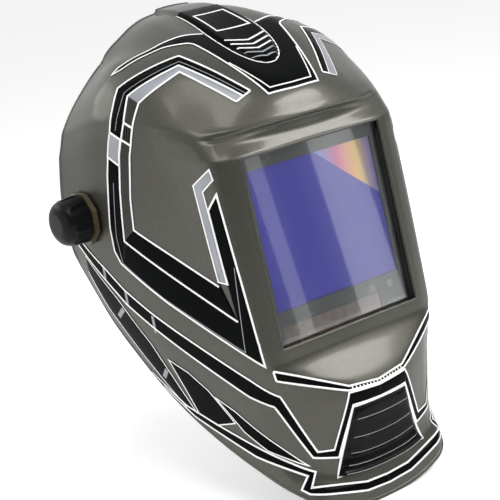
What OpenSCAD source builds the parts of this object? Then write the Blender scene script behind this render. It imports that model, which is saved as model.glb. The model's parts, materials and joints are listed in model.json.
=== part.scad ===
// Auto-darkening welding helmet: a moulded shell on a ratchet headgear.
// Origin: middle of the pivot axis. The wearer looks along -Y, +Z is up, the wearer's right is -X.

/* [Shell] */
// Wall of the moulded shell
shell_wall = 2.6; // [2.2:0.1:3]
// Grid steps between neighbouring form points
form_step = 3; // [2:1:3]
// Louvres in the chin vent
louvre_count = 6; // [4:1:8]

/* [Lens stack] */
// Filter cartridge width
cart_w = 114; // [112:1:114]
// Filter cartridge height
cart_h = 133; // [131:1:133]
// Filter cartridge thickness
cart_t = 10; // [9.5:0.5:10]
// Clear view width
view_w = 98; // [90:1:98]
// Clear view height
view_h = 88; // [80:1:88]
// Cover lens thickness
cover_t = 1; // [0.8:0.1:1]

/* [Pivot] */
// Pivot stud diameter
stud_d = 8; // [7:0.5:8]
// Tension knob diameter
knob_d = 31; // [28:1:32]

/* [Headgear] */
// Inside width between the side arms of the headband
band_w = 156; // [150:2:158]
// Headband strip thickness
strap_t = 2.2; // [1.8:0.2:2.4]
// Headband strip height
strap_h = 24; // [20:1:26]
// Sweatband thickness
pad_t = 7; // [5:1:8]

/* [Hidden] */
$fn = 64;
eps = 0.01;

// ---- shell form: rows run from the chin rim up to the crown rim ----
// Each row holds points from the middle of the helmet round to its rear edge, left half.
FORM_ROWS = [
  // lower rim
  [[0, -142, -191], [28, -142, -188], [52, -138, -180], [65, -116, -168],
   [74, -74, -150], [84, -34, -122], [95, 4, -76], [102, 24, -36]],
  // top of the rim flare
  [[0, -141.5, -181], [28, -141, -178.5], [51, -136, -171], [65, -113, -159],
   [76, -71, -139], [87, -31, -111], [98, 5, -66], [104, 25, -29]],
  // foot of the chin vent
  [[0, -135.5, -167], [27, -135, -165.5], [50, -129, -160], [66, -105, -148],
   [79, -66, -125], [91, -28, -97], [101, 4, -55], [105, 26, -21]],
  // head of the chin vent
  [[0, -143, -120], [24, -141.5, -120], [52, -130, -122], [69, -110, -118],
   [84, -70, -97], [96, -34, -72], [104, -2, -38], [106, 27, -12]],
  // front edge of the ledge
  [[0, -142, -113], [24, -139.5, -110], [50, -129.5, -100], [68, -121, -93],
   [87, -73, -73], [98, -38, -52], [105, -5, -24], [106, 27, -5]],
  // foot of the window frame
  [[0, -124.2, -90], [24, -124.2, -90], [57, -124, -90], [69, -119.5, -86],
   [88, -72, -62], [99, -38, -41], [105, -6, -14], [106, 27, 1]],
  // lower edge of the window
  [[0, -122.8, -81.5], [24, -122.8, -81.5], [57, -122.8, -81.5], [70, -118, -78],
   [88.5, -71, -55], [99.5, -38, -35], [105, -7, -9], [106, 27, 5]],
  // middle of the window
  [[0, -113.4, -22], [24, -113.4, -22], [57, -113.4, -22], [71.5, -108.3, -21],
   [90, -67, -10], [100.5, -37, -2], [105, -9, 8], [105.5, 27, 15]],
  // upper edge of the window
  [[0, -104, 37], [24, -104, 37], [57, -104, 37], [72, -98, 36],
   [89, -62, 42], [99, -36, 42], [103, -10, 40], [102.5, 27, 35]],
  // cove over the window
  [[0, -99.5, 45], [24, -99, 45], [52, -97, 44.5], [71, -92.5, 45],
   [87, -60, 51], [96.5, -36, 52], [101, -10, 50], [100, 27, 42]],
  // brow lip
  [[0, -102.5, 52.5], [24, -101.5, 52], [50, -96.5, 51], [69.5, -88, 51.5],
   [84, -57, 61], [92, -34, 64], [97, -10, 62], [97, 28, 50]],
  // forehead
  [[0, -95, 68], [22, -93.5, 68], [44, -84, 67], [60, -72, 67],
   [74, -50, 77], [82, -30, 81], [87, -8, 79], [88, 28, 63]],
  // front of the crown
  [[0, -76, 80], [20, -73, 83], [38, -63, 88], [51, -50, 92],
   [60, -38, 93], [67, -22, 93], [72, -4, 91], [75, 28, 76]],
  // top of the crown
  [[0, -34, 101], [19, -32, 103], [34, -30, 104], [46, -26, 101],
   [54, -18, 98], [60, -8, 96], [64, 4, 92], [67, 28, 83]],
  // back of the crown
  [[0, 0, 113], [17, 0, 113], [31, 2, 111], [42, 4, 106],
   [49, 8, 101], [55, 12, 96], [60, 18, 91], [63, 28, 86]],
  // crown rim
  [[0, 28, 113], [14, 28, 112], [26, 28, 110], [36, 28, 106],
   [44, 28, 101], [51, 28, 97], [56, 28, 93], [60, 28, 88]],
];
// How far each row and each column is rounded over, as a share of the next span.
ROW_ROUND = [0.2, 0.3, 0.45, 0.3, 0.25, 0.25, 0.05, 0.5, 0.05, 0.35, 0.2, 0.5, 0.5, 0.5, 0.5, 0.5];
COL_ROUND = [0.5, 0.5, 0.35, 0.35, 0.5, 0.5, 0.3, 0.3];
half_cols = len(COL_ROUND) - 1;

function mirrored(row) = concat([for (j = [half_cols:-1:1]) [-row[j][0], row[j][1], row[j][2]]], row);
FORM = [for (row = FORM_ROWS) mirrored(row)];
COLS = concat([for (j = [half_cols:-1:1]) COL_ROUND[j]], COL_ROUND);
form_rows = len(FORM);
form_cols = len(COLS);

function unit(v) = v / norm(v);
function pin_to(i, n) = max(0, min(n - 1, i));
// Index of the nearest form point and the shares of it and its two neighbours at position u.
function shares(u, rounding) =
  let (i = pin_to(floor(u + 0.5), len(rounding)), d = u - i, f = rounding[i])
  (i > 0 && i < len(rounding) - 1 && abs(d) < f)
    ? let (s = (d + f) / (2 * f), a = f * (1 - s) * (1 - s), c = f * s * s) [i, a, 1 - a - c, c]
    : (d >= 0 ? [i, 0, 1 - d, d] : [i, -d, 1 + d, 0]);
function mixed(list, w) =
  w[2] * list[w[0]]
  + w[1] * list[pin_to(w[0] - 1, len(list))]
  + w[3] * list[pin_to(w[0] + 1, len(list))];
function row_at(form, u) = mixed(form, shares(u, ROW_ROUND));
function form_at(form, u, v) = mixed(row_at(form, u), shares(v, COLS));
function inward(i, j) =
  let (up = FORM[pin_to(i + 1, form_rows)][j] - FORM[pin_to(i - 1, form_rows)][j],
       across = FORM[i][pin_to(j + 1, form_cols)] - FORM[i][pin_to(j - 1, form_cols)])
  unit(cross(up, across));
INNER_FORM = [for (i = [0:form_rows - 1]) [for (j = [0:form_cols - 1]) FORM[i][j] + shell_wall * inward(i, j)]];

grid_rows = (form_rows - 1) * form_step + 1;
grid_cols = (form_cols - 1) * form_step + 1;
function skin(form) = [
  for (a = [0:grid_rows - 1])
    let (row = row_at(form, a / form_step))
    for (b = [0:grid_cols - 1]) mixed(row, shares(b / form_step, COLS))
];
window_row_low = 6 * form_step;
window_row_high = 8 * form_step;
window_col_low = (half_cols - 2) * form_step;
window_col_high = (half_cols + 2) * form_step;
function in_window(a, b) =
  a >= window_row_low && a < window_row_high && b >= window_col_low && b < window_col_high;
skin_size = grid_rows * grid_cols;
function spot(a, b, inner) = a * grid_cols + b + (inner ? skin_size : 0);
// A wall between the two skins along one edge of the grid.
function wall(p, q) = [[p, q, q + skin_size], [p, q + skin_size, p + skin_size]];
function turned(faces) = [for (f = faces) [f[2], f[1], f[0]]];
skin_faces = [
  for (a = [0:grid_rows - 2]) for (b = [0:grid_cols - 2]) if (!in_window(a, b))
    each [[spot(a, b, false), spot(a + 1, b, false), spot(a + 1, b + 1, false)],
          [spot(a, b, false), spot(a + 1, b + 1, false), spot(a, b + 1, false)]]
];
edge_faces = concat(
  [for (b = [0:grid_cols - 2]) each turned(wall(spot(0, b, false), spot(0, b + 1, false)))],
  [for (b = [0:grid_cols - 2]) each wall(spot(grid_rows - 1, b, false), spot(grid_rows - 1, b + 1, false))],
  [for (a = [0:grid_rows - 2]) each wall(spot(a, 0, false), spot(a + 1, 0, false))],
  [for (a = [0:grid_rows - 2]) each turned(wall(spot(a, grid_cols - 1, false), spot(a + 1, grid_cols - 1, false)))],
  [for (b = [window_col_low:window_col_high - 1]) each concat(
    wall(spot(window_row_low, b, false), spot(window_row_low, b + 1, false)),
    turned(wall(spot(window_row_high, b, false), spot(window_row_high, b + 1, false))))],
  [for (a = [window_row_low:window_row_high - 1]) each concat(
    turned(wall(spot(a, window_col_low, false), spot(a + 1, window_col_low, false))),
    wall(spot(a, window_col_high, false), spot(a + 1, window_col_high, false)))]
);
inner_faces = [for (f = turned(skin_faces)) [f[0] + skin_size, f[1] + skin_size, f[2] + skin_size]];

module shell_solid() {
  polyhedron(points = concat(skin(FORM), skin(INNER_FORM)), faces = concat(skin_faces, inner_faces, edge_faces));
}

// ---- pivot stack: distances out from the middle of the helmet ----
band_in = band_w / 2;
band_out = band_in + strap_t;
rail_x = band_out + 0.2;
rail_plate_t = 2.6;
rail_web = [2.2, 10];
rail_head = [2.8, 12];
slide_gap = 0.35;
slider_x = rail_x + rail_plate_t + 0.4;
slider_size = [8.4, 26, 18];
stud_flange_x = slider_x + slider_size[0];
disc_x = stud_flange_x + 2.2;
disc_t = 3;
washer_x = disc_x + disc_t + 0.15;
washer_t = 0.9;
bush_x = washer_x + washer_t + 0.15;
bush_flange_t = 2.6;
plate_x = 105.8;
plate_t = 3.2;
knob_x = plate_x + plate_t + 0.3;
knob_len = 18.2;
pivot_hole_d = 18;
bore_gap = 0.5;
insert_d = 12;

// Axis of a turned piece laid along X, starting x out from the middle.
module along_x(x) {
  translate([x, 0, 0]) rotate([0, 90, 0]) children();
}
// The left piece (+X) or its mirror image on the right.
module on_side(side) {
  if (side > 0) children();
  else mirror([1, 0, 0]) children();
}

module helmet_shell() {
  color("#4f4f47")
    difference() {
      shell_solid();
      along_x(-130) cylinder(d = pivot_hole_d, h = 260);
    }
}

// Louvred insert on the chin: a patch of the form set just proud of the shell.
vent_low = 2.1;
vent_high = 2.97;
vent_foot = 1.38;
vent_head = 0.9;
vent_rows = louvre_count * 4;
vent_cols = 12;
vent_lift = [0.15, 1.6];
function vent_rise(t) = let (k = t * louvre_count - floor(t * louvre_count)) 1.4 * sin(180 * k);
function vent_point(a, b, lifted) =
  let (t = a / vent_rows, u = vent_low + (vent_high - vent_low) * t,
       v = half_cols + (2 * b / vent_cols - 1) * (vent_foot + (vent_head - vent_foot) * t),
       inner_edge = (b == 0 || b == vent_cols || a == 0 || a == vent_rows))
  form_at(FORM, u, v) - [0, vent_lift[0] + (lifted ? vent_lift[1] + (inner_edge ? 0 : vent_rise(t)) : 0), 0];
function vent_spot(a, b, lifted) = a * (vent_cols + 1) + b + (lifted ? (vent_rows + 1) * (vent_cols + 1) : 0);
function vent_wall(p, q) = let (n = (vent_rows + 1) * (vent_cols + 1)) [[p, q, q + n], [p, q + n, p + n]];
module chin_vent() {
  front = [for (a = [0:vent_rows - 1]) for (b = [0:vent_cols - 1]) each
    [[vent_spot(a, b, true), vent_spot(a + 1, b, true), vent_spot(a + 1, b + 1, true)],
     [vent_spot(a, b, true), vent_spot(a + 1, b + 1, true), vent_spot(a, b + 1, true)]]];
  back = [for (a = [0:vent_rows - 1]) for (b = [0:vent_cols - 1]) each
    [[vent_spot(a, b, false), vent_spot(a + 1, b + 1, false), vent_spot(a + 1, b, false)],
     [vent_spot(a, b, false), vent_spot(a, b + 1, false), vent_spot(a + 1, b + 1, false)]]];
  sides = concat(
    [for (b = [0:vent_cols - 1]) each vent_wall(vent_spot(0, b, false), vent_spot(0, b + 1, false))],
    [for (b = [0:vent_cols - 1]) each
      turned(vent_wall(vent_spot(vent_rows, b, false), vent_spot(vent_rows, b + 1, false)))],
    [for (a = [0:vent_rows - 1]) each turned(vent_wall(vent_spot(a, 0, false), vent_spot(a + 1, 0, false)))],
    [for (a = [0:vent_rows - 1]) each
      vent_wall(vent_spot(a, vent_cols, false), vent_spot(a + 1, vent_cols, false))]);
  color("#0d0e0d")
    polyhedron(
      points = [for (lifted = [false, true]) for (a = [0:vent_rows]) for (b = [0:vent_cols])
        vent_point(a, b, lifted)],
      faces = concat(front, back, [for (f = sides) [f[2], f[1], f[0]]]));
}

module pivot_bush(side) {
  color("#2a2b29") on_side(side)
    difference() {
      union() {
        along_x(bush_x) cylinder(d = 28, h = bush_flange_t);
        along_x(bush_x) cylinder(d = pivot_hole_d - 0.4, h = plate_x - bush_x - 0.2);
      }
      along_x(bush_x - 1) cylinder(d = stud_d + bore_gap, h = 20);
    }
}
// Octagonal friction plate between the knob and the shell.
module friction_plate(side) {
  color("#5a4a2c") on_side(side)
    difference() {
      along_x(plate_x) rotate([0, 0, 22.5]) cylinder(d = 35, h = plate_t, $fn = 8);
      along_x(plate_x - 1) cylinder(d = stud_d + bore_gap, h = 6);
    }
}
// Domed cap with eight finger flutes.
module tension_knob(side) {
  flutes = 8;
  color("#101110") on_side(side)
    difference() {
      along_x(knob_x)
        rotate_extrude()
          polygon(concat([[0, 0], [knob_d / 2 - 1, 0], [knob_d / 2, 1], [knob_d / 2 - 0.6, 11]],
            [for (a = [10:10:80]) [6 + 8.4 * cos(a), 11 + 7.2 * sin(a)]], [[0, knob_len]]));
      for (i = [0:flutes - 1])
        rotate([i * 360 / flutes, 0, 0])
          translate([knob_x - 1, knob_d / 2 + 2.6, 0])
            rotate([0, 83, 0]) cylinder(d = 8, h = 26);
      along_x(knob_x - 1) cylinder(d = insert_d, h = 12);
      along_x(knob_x - 1) cylinder(d = stud_d + 1, h = 14);
    }
}
module knob_insert(side) {
  color("#b08d3c") on_side(side)
    difference() {
      along_x(knob_x + 0.6) cylinder(d = insert_d, h = 10.4);
      along_x(knob_x) cylinder(d = stud_d + 0.1, h = 12);
    }
}
module pivot_stud(side) {
  color("#8d8f90") on_side(side) {
    along_x(stud_flange_x) cylinder(d = 15, h = 2);
    along_x(slider_x + 5.2) cylinder(d = stud_d, h = knob_x + 11.5 - slider_x - 5.2);
  }
}
module friction_washer(side) {
  color("#7d3b2a") on_side(side)
    difference() {
      along_x(washer_x) cylinder(d = 26, h = washer_t);
      along_x(washer_x - 1) cylinder(d = stud_d + bore_gap, h = 3);
    }
}
// Notched disc with a finger lever: it sets how far down the shell comes.
module tilt_stop() {
  color("#1c1d1c") on_side(-1)
    difference() {
      union() {
        along_x(disc_x) cylinder(d = 27, h = disc_t);
        translate([disc_x, 0, -3.5]) rotate([215, 0, 0]) cube([disc_t, 22, 7]);
      }
      along_x(disc_x - 1) cylinder(d = stud_d + bore_gap, h = 6);
      for (a = [-50:25:50])
        rotate([a, 0, 0]) translate([disc_x - 1, 0, 14]) rotate([0, 90, 0]) cylinder(d = 3, h = 6);
    }
}
module spacer_disc() {
  color("#1c1d1c")
    difference() {
      along_x(disc_x) cylinder(d = 27, h = disc_t);
      along_x(disc_x - 1) cylinder(d = stud_d + bore_gap, h = 6);
    }
}

// ---- fore-and-aft sliders on the headband sides ----
rail_y = [-36, 14];
rail_z = [-10, 20];
rail_rivets = [[8, 13], [-12, 15]];
rivet_d = 3.4;
band_hole_d = 3.5;
strap_hole_d = 3.6;
module t_bar(web, head, y0, y1) {
  translate([0, y0, -web[1] / 2]) cube([web[0] + eps, y1 - y0, web[1]]);
  translate([web[0], y0, -head[1] / 2]) cube([head[0], y1 - y0, head[1]]);
}
module side_rail(side) {
  color("#242522") on_side(side)
    difference() {
      union() {
        translate([rail_x, rail_y[0], rail_z[0]])
          cube([rail_plate_t, rail_y[1] - rail_y[0], rail_z[1] - rail_z[0]]);
        translate([rail_x + rail_plate_t - eps, 0, 0]) t_bar(rail_web, rail_head, rail_y[0], rail_y[1]);
        translate([79, rail_rivets[1][0], rail_rivets[1][1]])
          rotate([0, 90, 0]) cylinder(d = 7, h = rail_x - 79 + eps);
      }
      for (p = rail_rivets)
        translate([70, p[0], p[1]]) rotate([0, 90, 0]) cylinder(d = strap_hole_d, h = 20);
      for (y = [-31:5:9])
        translate([rail_x + 1, y, rail_z[0] - 1]) cube([4, 2, 2.6]);
    }
}
module slider(side) {
  color("#151615") on_side(side)
    difference() {
      translate([slider_x, -slider_size[1] / 2, -slider_size[2] / 2]) cube(slider_size);
      translate([slider_x - 1, -20, -rail_web[1] / 2 - slide_gap])
        cube([3, 40, rail_web[1] + 2 * slide_gap]);
      translate([rail_x + rail_plate_t + rail_web[0] - slide_gap, -20, -rail_head[1] / 2 - slide_gap])
        cube([rail_head[0] + 2 * slide_gap, 40, rail_head[1] + 2 * slide_gap]);
      along_x(slider_x) cylinder(d = stud_d, h = 12);
    }
}
module rail_rivet(side) {
  color("#9a9c9d") on_side(side)
    for (p = rail_rivets) {
      start = p[0] > 0 ? band_in + 0.2 : 75.9;
      translate([start, p[0], p[1]]) rotate([0, 90, 0]) cylinder(d = rivet_d, h = rail_x + rail_plate_t - start);
    }
}

// ---- lens stack: X across, Z up the lens, Y inward from the outside of the window frame ----
window_foot = FORM_ROWS[6][0];
window_head = FORM_ROWS[8][0];
lens_tilt = atan2(window_head[1] - window_foot[1], window_head[2] - window_foot[2]);
module in_lens() {
  translate((window_foot + window_head) / 2) rotate([-lens_tilt, 0, 0]) children();
}
cart_z = -6;
cart_y = 5.9;
view_z = 6;
fit_gap = 0.3;
holder_wall = 3;
holder_y = 3.2;
holder_back = 18.2;
cover_y = cart_y - 1.25;
inner_cover_y = cart_y + cart_t + 0.1;
module slab(w, h, y0, y1, z = 0, x = 0) {
  translate([x - w / 2, y0, z - h / 2]) cube([w, y1 - y0, h]);
}
// A plate with rounded corners.
module plate(w, h, y0, y1, z, r) {
  translate([0, y1, z]) rotate([90, 0, 0])
    linear_extrude(y1 - y0)
      union() {
        square([w - 2 * r, h], center = true);
        square([w, h - 2 * r], center = true);
        for (i = [-1, 1]) for (j = [-1, 1]) translate([i * (w / 2 - r), j * (h / 2 - r)]) circle(r);
      }
}
tray_x = 38;
tray_w = 27;
latch_z = -8;
module lens_holder() {
  hold_w = cart_w + 2 * (fit_gap + holder_wall);
  hold_h = cart_h + 2 * (fit_gap + holder_wall);
  color("#191a19") in_lens()
    difference() {
      union() {
        slab(cart_w, cart_h - 8, holder_y, 5, cart_z - 4);
        slab(hold_w, hold_h - 10, 4.5, 8.6, cart_z - 5);
        slab(hold_w, hold_h, 8.5, holder_back, cart_z);
      }
      slab(108, 117, holder_y - 1, 6, -1.2);
      slab(cart_w + 2 * fit_gap, cart_h + 2 * fit_gap, cart_y - 1.3, holder_back + 1, cart_z);
      for (side = [-1, 1]) {
        slab(8, 22, 15.95, holder_back + 1, latch_z, side * (cart_w / 2 + 3));
        slab(tray_w + 1.4, 12, 8.4, 16.2, cart_z - cart_h / 2 - 5, side * tray_x);
      }
    }
}
// Cover lenses: clear polycarbonate in front of the cartridge and behind it.
module front_cover_lens() {
  color("#dfe6ea", 0.3) in_lens()
    plate(cart_w - 0.4, cart_h - 3, cover_y, cover_y + cover_t, cart_z + 0.5, 3);
}
module inner_cover_lens() {
  color("#dfe6ea", 0.3) in_lens() plate(104, 93, inner_cover_y, inner_cover_y + cover_t, view_z, 3);
}
case_split = cart_y + cart_t / 2;
case_wall = 1.8;
knob_places = [[0, 18, 5], [-17, 11, 4], [17, 11, 4]];
knob_z = -56;
sensor_places = [[-25.5, -43.4], [25.5, -43.4], [40, -44.5], [-34.8, 56.2]];
solar_x = -9;
solar_z = -54;
button_x = 22;
switch_x = -20;
top_z = 55.6;
case_screws = [[-53.5, -70], [53.5, -70], [-53.5, 57.2], [53.5, 57.2]];
module case_front() {
  color("#4a4d48") in_lens()
    difference() {
      plate(cart_w, cart_h, cart_y, case_split, cart_z, 2);
      slab(cart_w - 2 * case_wall, cart_h - 2 * case_wall, cart_y + 1.4, case_split + 1, cart_z);
      slab(view_w, view_h, cart_y - 1, cart_y + 3, view_z);
      slab(78.4, 13.4, cart_y - 1, cart_y + 3, solar_z, solar_x);
      for (p = sensor_places)
        translate([p[0], cart_y - 1, p[1]]) rotate([-90, 0, 0]) cylinder(d = 5, h = 4);
      for (side = [-1, 1])
        slab(tray_w + 0.8, 8, 9.4, 16, cart_z - cart_h / 2, side * tray_x);
    }
}
module case_rear() {
  back = cart_y + cart_t;
  color("#232522") in_lens()
    difference() {
      plate(cart_w, cart_h, case_split, back, cart_z, 2);
      slab(cart_w - 2 * case_wall, cart_h - 2 * case_wall, case_split - 1, back - 1.6, cart_z);
      slab(view_w, view_h, case_split - 1, back + 1, view_z);
      for (k = knob_places)
        translate([k[0], case_split - 1, knob_z]) rotate([-90, 0, 0]) cylinder(d = k[2] + 0.2, h = 8);
      translate([button_x, case_split - 1, top_z]) rotate([-90, 0, 0]) cylinder(d = 5.4, h = 8);
      slab(11, 3.6, case_split - 1, back + 1, top_z, switch_x);
      for (side = [-1, 1])
        slab(tray_w + 0.8, 8, 9.4, back - 1, cart_z - cart_h / 2, side * tray_x);
      for (p = case_screws)
        translate([p[0], case_split - 1, p[1]]) rotate([-90, 0, 0]) cylinder(d = 2.2, h = 8);
    }
}
module filter_glass() {
  color("#3d3aa8", 0.8) in_lens() slab(104, 92, cart_y + 1.5, cart_y + 3.7, view_z);
}
module shutter_cell() {
  color("#26264a", 0.8) in_lens() slab(104, 92, cart_y + 3.9, cart_y + 6.3, view_z);
}
module solar_panel() {
  color("#5c4a3e") in_lens() slab(78, 13, cart_y + 0.6, cart_y + 2.2, solar_z, solar_x);
}
module arc_sensors() {
  color("#2b2c31") in_lens()
    for (p = sensor_places)
      translate([p[0], cart_y - 0.1, p[1]]) rotate([-90, 0, 0]) cylinder(d = 5, h = 1.5);
}
module circuit_board() {
  color("#1f5a38") in_lens() slab(46, 24, cart_y + 3.6, cart_y + 5.2, -56);
}
module case_screw_set() {
  color("#a5a7a8") in_lens()
    for (p = case_screws)
      translate([p[0], 0, p[1]]) rotate([-90, 0, 0]) {
        translate([0, 0, case_split]) cylinder(d = 2.2, h = cart_t / 2);
        translate([0, 0, cart_y + cart_t]) cylinder(d = 3.6, h = 0.8);
      }
}
tray_top = cart_z - cart_h / 2 + 25.5;
module battery_tray(side) {
  color("#161716") in_lens()
    difference() {
      union() {
        slab(tray_w, 26, 9.8, 14, tray_top - 13, side * tray_x);
        slab(tray_w - 1, 4.6, 9.2, 15.4, cart_z - cart_h / 2 - 2.6, side * tray_x);
      }
      translate([side * tray_x, 10.6, tray_top - 13]) rotate([-90, 0, 0]) cylinder(d = 23.4, h = 8);
    }
}
module battery_cell(side) {
  color("#b9bbbd") in_lens()
    translate([side * tray_x, 10.6, tray_top - 13]) rotate([-90, 0, 0]) cylinder(d = 23, h = 3.2);
}
// Turned setting knob with a pointer rib; its shaft reaches the circuit board.
module setting_knob(place) {
  color("#1a1b1a") in_lens()
    translate([place[0], cart_y + 5.4, knob_z]) rotate([-90, 0, 0]) {
      cylinder(d = place[2], h = 5.2);
      translate([0, 0, 4.9]) difference() {
        cylinder(d = place[1], h = 5.6);
        for (a = [0:30:330])
          rotate([0, 0, a]) translate([place[1] / 2 + 0.5, 0, -1]) cylinder(d = 2, h = 8);
      }
      translate([-0.6, 0, 10]) cube([1.2, place[1] / 2 - 1, 1.1]);
    }
}
module shade_knob() { setting_knob(knob_places[0]); }
module sensitivity_knob() { setting_knob(knob_places[1]); }
module delay_knob() { setting_knob(knob_places[2]); }
module grind_switch() {
  color("#8f2b22") in_lens() {
    slab(5, 3.1, cart_y + 8.2, cart_y + 11.6, top_z, switch_x - 2.6);
    slab(7, 5, cart_y + 7, cart_y + 8.2, top_z, switch_x - 2.2);
  }
}
module test_button() {
  color("#b4b6b5") in_lens()
    translate([button_x, 0, top_z]) rotate([-90, 0, 0]) {
      translate([0, 0, cart_y + 7.2]) cylinder(d = 6, h = 1);
      translate([0, 0, cart_y + 8]) cylinder(d = 5, h = 4.2);
    }
}
// Sliding catches that hold the cartridge in the holder.
module cartridge_latch(side) {
  color("#2d2e2c") in_lens() {
    slab(6.5, 21, 16.1, 18, latch_z, side * (cart_w / 2 + 0.6));
    slab(2, 15, 17.9, 20.6, latch_z, side * (cart_w / 2 + 2.4));
  }
}

// ---- headband: two half rounds joined by straight arms, in a plane that drops to the nape ----
band_y = 22;
band_tilt = 18;
arm_half = 17;
front_arm_end = 14;
rear_strap_h = 16;
rear_gap = 0.3;
rear_t = 2;
rear_arm_end = -5;
module in_band() {
  translate([0, band_y, 0]) rotate([-band_tilt, 0, 0]) children();
}
module hoop(r, t, h) {
  difference() {
    cylinder(r = r + t, h = h, center = true, $fn = 120);
    cylinder(r = r, h = h + 2, center = true, $fn = 120);
  }
}
module front_half(r, t, h) {
  intersection() {
    translate([0, -arm_half, 0]) hoop(r, t, h);
    translate([-120, -arm_half - 120, -50]) cube([240, 120, 100]);
  }
}
module headband() {
  color("#1b1c1b")
    difference() {
      in_band() {
        front_half(band_in, strap_t, strap_h);
        for (side = [-1, 1])
          translate([side > 0 ? band_in : -band_out, -arm_half, -strap_h / 2])
            cube([strap_t, arm_half + front_arm_end, strap_h]);
      }
      for (side = [-1, 1]) for (p = rail_rivets)
        translate([side * 80 - 10, p[0], p[1]]) rotate([0, 90, 0]) cylinder(d = band_hole_d, h = 20);
      translate([-100, strap_y, 0]) rotate([0, 90, 0]) cylinder(d = band_hole_d, h = 200);
    }
}
// Padded brow band inside the front of the headband.
module sweatband() {
  color("#3a3b3c") in_band()
    intersection() {
      translate([0, -arm_half, 0]) hoop(band_in - pad_t - 0.4, pad_t, strap_h + 10);
      translate([0, -arm_half, -30]) rotate([0, 0, 180 + 22])
        rotate_extrude(angle = 136) translate([40, 0]) square([60, 60]);
    }
}
module rear_band() {
  r = band_in - rear_gap - rear_t;
  color("#1b1c1b") in_band() {
    mirror([0, 1, 0]) front_half(r, rear_t, rear_strap_h);
    for (side = [-1, 1])
      translate([side > 0 ? r : -r - rear_t, rear_arm_end, -rear_strap_h / 2])
        cube([rear_t, arm_half - rear_arm_end, rear_strap_h]);
  }
}
house_y = arm_half + band_in - rear_gap + 0.2;
module ratchet_housing() {
  color("#202120") in_band()
    difference() {
      union() {
        translate([-26, house_y - 12, -14]) cube([52, 18, 28]);
        for (side = [-1, 1]) translate([side * 26, house_y - 12, 0])
          rotate([-90, 0, 0]) cylinder(r = 14, h = 18);
      }
      translate([0, arm_half, 0]) cylinder(r = band_in - rear_gap + 0.1, h = 60, center = true, $fn = 120);
      translate([0, house_y + 1.5, 0]) rotate([-90, 0, 0]) cylinder(d = 16, h = 8);
      for (side = [-1, 1]) translate([side * 26, house_y - 20, 0]) rotate([-90, 0, 0]) cylinder(d = 2.8, h = 40);
    }
}
module ratchet_cover() {
  color("#161716") in_band()
    difference() {
      union() {
        translate([-26, house_y + 6.1, -14]) cube([52, 2.6, 28]);
        for (side = [-1, 1]) translate([side * 26, house_y + 6.1, 0])
          rotate([-90, 0, 0]) cylinder(r = 14, h = 2.6);
      }
      translate([0, house_y, 0]) rotate([-90, 0, 0]) cylinder(d = 6.1, h = 20);
      for (side = [-1, 1]) translate([side * 26, house_y - 20, 0]) rotate([-90, 0, 0]) cylinder(d = 2.8, h = 40);
    }
}
module housing_screws() {
  color("#a5a7a8") in_band()
    for (side = [-1, 1]) translate([side * 26, house_y, 0]) rotate([-90, 0, 0]) {
      cylinder(d = 2.8, h = 8.7);
      translate([0, 0, 8.7]) cylinder(d = 5, h = 1.2);
    }
}
pinion_teeth = 10;
module pinion() {
  color("#c9c3b4") in_band()
    translate([0, house_y + 1.8, 0]) rotate([-90, 0, 0]) {
      cylinder(d = 10, h = 3.8);
      for (i = [0:pinion_teeth - 1])
        rotate([0, 0, i * 360 / pinion_teeth]) translate([4, -0.8, 0]) cube([2.8, 1.6, 3.8]);
      cylinder(d = 6, h = 9.4);
    }
}
module ratchet_knob() {
  ribs = 18;
  color("#0f100f") in_band()
    translate([0, house_y + 9, 0]) rotate([-90, 0, 0])
      difference() {
        rotate_extrude()
          polygon([[0, 0], [18, 0], [19.5, 1.5], [18.5, 12], [16, 14.5], [0, 15.5]]);
        for (i = [0:ribs - 1])
          rotate([0, 0, i * 360 / ribs]) translate([20, 0, -1]) cylinder(d = 3, h = 20);
        translate([0, 0, -1]) cylinder(d = 6, h = 4);
      }
}
module rear_pad() {
  color("#3a3b3c") in_band()
    intersection() {
      translate([0, arm_half, 0]) hoop(band_in - rear_gap - 2.4 - pad_t, pad_t, rear_strap_h + 14);
      translate([0, arm_half, -30]) rotate([0, 0, 55])
        rotate_extrude(angle = 70) translate([40, 0]) square([60, 60]);
    }
}

// ---- crown strap: two overlapping straps with a snap peg ----
strap_y = 28;
strap_w = 14;
crown_t = 1.6;
crown_z = -2;
lap_angle = 16;
peg_holes = [-12:6:12];
strap_r = band_out + 2.2;
boss_x = band_out + 0.2;
module crown_strap(side, lift) {
  color("#1d1e1d") on_side(side)
    difference() {
      union() {
        translate([0, strap_y, crown_z + lift]) rotate([90, 0, 0])
          rotate_extrude(angle = 90 + lap_angle) translate([strap_r, -strap_w / 2]) square([crown_t, strap_w]);
        translate([strap_r, strap_y - strap_w / 2, -12]) cube([crown_t, strap_w, 12 + crown_z + lift]);
        translate([boss_x, strap_y, 0]) rotate([0, 90, 0]) cylinder(d = 9, h = strap_r - boss_x + 0.6);
      }
      translate([60, strap_y, 0]) rotate([0, 90, 0]) cylinder(d = strap_hole_d, h = 40);
      translate([0, strap_y, crown_z]) for (a = peg_holes)
        rotate([0, a, 0]) translate([0, 0, 70]) cylinder(d = strap_hole_d, h = 20);
    }
}
module strap_rivet(side) {
  color("#9a9c9d") on_side(side)
    translate([band_in + 0.2, strap_y, 0]) rotate([0, 90, 0]) {
      cylinder(d = rivet_d, h = strap_r + crown_t - band_in - 0.2);
      translate([0, 0, strap_r + crown_t - band_in - 0.2]) cylinder(d = 7, h = 1.2);
    }
}
module crown_peg() {
  base = crown_z + strap_r - 0.2;
  color("#1d1e1d") translate([0, strap_y, base]) {
    translate([0, 0, -1.2]) cylinder(d = 8, h = 1.2);
    cylinder(d = 3.2, h = 4.2);
    translate([0, 0, 3.9]) cylinder(d = 5, h = 1.2);
  }
}

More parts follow.
